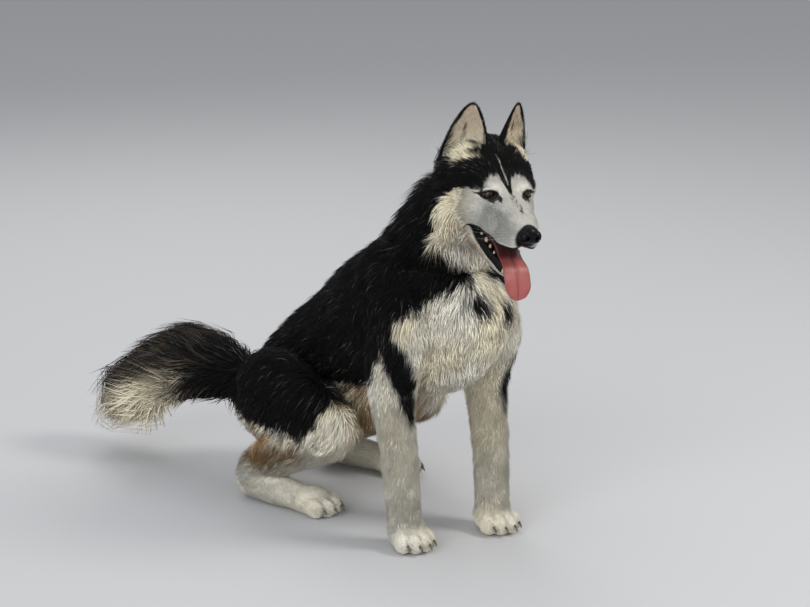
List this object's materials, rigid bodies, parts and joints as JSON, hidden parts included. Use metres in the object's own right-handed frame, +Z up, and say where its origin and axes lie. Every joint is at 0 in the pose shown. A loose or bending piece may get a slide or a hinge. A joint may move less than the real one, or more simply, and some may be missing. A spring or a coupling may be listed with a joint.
{
  "type": "siberian husky",
  "caption": "Still life-size model of a sitting husky dog with an open mouth, a hanging tongue, upright ears and a bushy tail laid out behind.",
  "frame": {"origin": "middle of the bounding box, on the floor that the dog sits on", "axes": "+X to the dog's front, +Y to the dog's left, +Z up"},
  "size_m": [1.07, 0.3822, 0.7542],
  "materials": {
    "coat_black": "dense matt fur",
    "coat_white": "dense matt fur, cream white",
    "coat_grey": "long grizzled fur",
    "eye": "wet and glossy",
    "nose_skin": "moist black skin",
    "tongue_skin": "wet pink skin"
  },
  "bodies": {
    "root": {"torso": "coat_black", "neck": "coat_black", "head": "coat_white", "lower_jaw": "coat_white", "ear_left": "coat_black", "ear_right": "coat_black", "eye_left": "eye", "eye_right": "eye", "nose": "nose_skin", "tongue": "tongue_skin", "foreleg_left": "coat_white", "foreleg_right": "coat_white", "thigh_left": "coat_black", "thigh_right": "coat_black", "hind_leg_left": "coat_white", "hind_leg_right": "coat_white", "tail": "coat_grey"}
  },
  "joints": []
}
